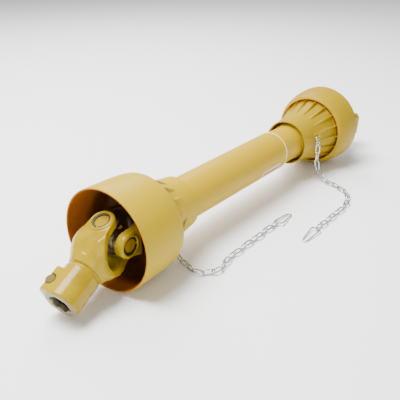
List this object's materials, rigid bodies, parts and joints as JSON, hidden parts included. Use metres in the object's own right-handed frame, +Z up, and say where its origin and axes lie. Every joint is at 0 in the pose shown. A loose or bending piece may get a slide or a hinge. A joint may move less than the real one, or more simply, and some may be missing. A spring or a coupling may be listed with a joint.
{
  "type": "pto drive shaft",
  "caption": "Telescoping power take-off shaft with two universal joints, splined push-pin yokes, a bell-ended plastic guard and two holding chains.",
  "frame": {"origin": "below the middle of the part, on the floor that its bells stand on", "axes": "+X along the shaft from the near bell to the far bell, +Z up"},
  "size_m": [0.9106, 0.2554, 0.164],
  "materials": {
    "yoke_paint": "glossy yellow paint, worn at the edges",
    "guard_plastic": "smooth yellow plastic",
    "bearing_steel": "ground steel",
    "dark_steel": "blackened spring steel",
    "pin_steel": "zinc coated",
    "tube_steel": "drawn, bare",
    "zinc": "bright zinc",
    "nylon": "natural nylon",
    "seal_rubber": "black",
    "brass": "plated"
  },
  "bodies": {
    "drive_outer": {"near_inner_yoke": "yoke_paint", "near_inner_cups": "bearing_steel", "near_inner_rings": "dark_steel", "near_tube_pin": "dark_steel", "outer_drive_tube": "tube_steel"},
    "near_cross_set": {"near_cross": "bearing_steel", "near_cross_seals": "seal_rubber", "near_grease_nipple": "brass"},
    "near_yoke_set": {"near_outer_yoke": "yoke_paint", "near_outer_cups": "bearing_steel", "near_outer_rings": "dark_steel", "near_pin_spring": "zinc"},
    "near_pin_set": {"near_push_pin": "pin_steel", "near_pin_clip": "dark_steel"},
    "near_guard": {"near_bell": "guard_plastic", "near_bearing_ring": "nylon", "near_guard_screws": "zinc", "outer_guard_tube": "guard_plastic"},
    "near_hook_set": {"near_s_hook": "zinc"},
    "near_chain_set": {"near_chain": "zinc"},
    "near_snap_set": {"near_snap_hook": "zinc"},
    "drive_inner": {"far_inner_yoke": "yoke_paint", "far_inner_cups": "bearing_steel", "far_inner_rings": "dark_steel", "far_tube_pin": "dark_steel", "inner_drive_tube": "tube_steel"},
    "far_cross_set": {"far_cross": "bearing_steel", "far_cross_seals": "seal_rubber", "far_grease_nipple": "brass"},
    "far_yoke_set": {"far_outer_yoke": "yoke_paint", "far_outer_cups": "bearing_steel", "far_outer_rings": "dark_steel", "far_pin_spring": "zinc"},
    "far_pin_set": {"far_push_pin": "pin_steel", "far_pin_clip": "dark_steel"},
    "far_guard": {"far_bell": "guard_plastic", "far_bearing_ring": "nylon", "far_guard_screws": "zinc", "inner_guard_tube": "guard_plastic"},
    "far_hook_set": {"far_s_hook": "zinc"},
    "far_drop_set": {"far_chain_drop": "zinc"},
    "far_chain_set": {"far_chain": "zinc"},
    "far_snap_set": {"far_snap_hook": "zinc"}
  },
  "joints": [
    {"name": "near_cross_swing", "type": "hinge", "parent": "drive_outer", "child": "near_cross_set", "pos_m": [-0.33126, 0.04559, 0.082], "axis": [0, 1, 0], "range_deg": [-6.5, 53.5]},
    {"name": "near_yoke_swing", "type": "hinge", "parent": "near_cross_set", "child": "near_yoke_set", "pos_m": [-0.33126, 0.04559, 0.082], "axis": [-0.3987, 0, 0.9171], "range_deg": [-30, 20]},
    {"name": "near_pin_push", "type": "slide", "parent": "near_yoke_set", "child": "near_pin_set", "axis": [0.3987, 0, -0.9171], "range_m": [0, 0.008], "stiffness_N_per_m": 1500, "springref_m": -0.003, "deforming": ["near_pin_spring"]},
    {"name": "near_guard_spin", "type": "hinge", "parent": "drive_outer", "child": "near_guard", "pos_m": [-0.33126, 0.04559, 0.082], "axis": [1, 0, 0], "continuous": true},
    {"name": "near_hook_swing", "type": "hinge", "parent": "near_guard", "child": "near_hook_set", "pos_m": [-0.21727, 0.0217, 0.03302], "axis": [1, 0, 0], "range_deg": [-20, 12]},
    {"name": "near_chain_swing", "type": "hinge", "parent": "near_hook_set", "child": "near_chain_set", "pos_m": [-0.21727, 0.01686, 0.01361], "axis": [1, 0, 0], "range_deg": [-40, 8]},
    {"name": "near_snap_swing", "type": "hinge", "parent": "near_chain_set", "child": "near_snap_set", "pos_m": [-0.01318, -0.05239, 0.00602], "axis": [0, 0, 1], "range_deg": [-20, 20]},
    {"name": "telescope", "type": "slide", "parent": "drive_outer", "child": "drive_inner", "axis": [1, 0, 0], "range_m": [-0.05, 0.15]},
    {"name": "far_cross_swing", "type": "hinge", "parent": "drive_inner", "child": "far_cross_set", "pos_m": [0.32873, 0.04559, 0.082], "axis": [0, 1, 0], "range_deg": [-42, 18]},
    {"name": "far_yoke_swing", "type": "hinge", "parent": "far_cross_set", "child": "far_yoke_set", "pos_m": [0.32873, 0.04559, 0.082], "axis": [0.2079, 0, 0.9781], "range_deg": [-19, 31]},
    {"name": "far_pin_push", "type": "slide", "parent": "far_yoke_set", "child": "far_pin_set", "axis": [-0.2079, 0, -0.9781], "range_m": [0, 0.008], "stiffness_N_per_m": 1500, "springref_m": -0.003, "deforming": ["far_pin_spring"]},
    {"name": "far_guard_spin", "type": "hinge", "parent": "drive_inner", "child": "far_guard", "pos_m": [0.32873, 0.04559, 0.082], "axis": [1, 0, 0], "continuous": true},
    {"name": "far_hook_swing", "type": "hinge", "parent": "far_guard", "child": "far_hook_set", "pos_m": [0.21474, -0.00705, 0.09611], "axis": [1, 0, 0], "range_deg": [-25, 2]},
    {"name": "far_drop_swing", "type": "hinge", "parent": "far_hook_set", "child": "far_drop_set", "pos_m": [0.21474, -0.00914, 0.07622], "axis": [1, 0, 0], "range_deg": [-25, 2]},
    {"name": "far_chain_swing", "type": "hinge", "parent": "far_drop_set", "child": "far_chain_set", "pos_m": [0.21302, -0.02403, 0.01383], "axis": [0.9903, -0.1392, 0], "range_deg": [-20, 6]},
    {"name": "far_snap_swing", "type": "hinge", "parent": "far_chain_set", "child": "far_snap_set", "pos_m": [0.01138, -0.11819, 0.00542], "axis": [0, 0, 1], "range_deg": [-20, 20]}
  ]
}
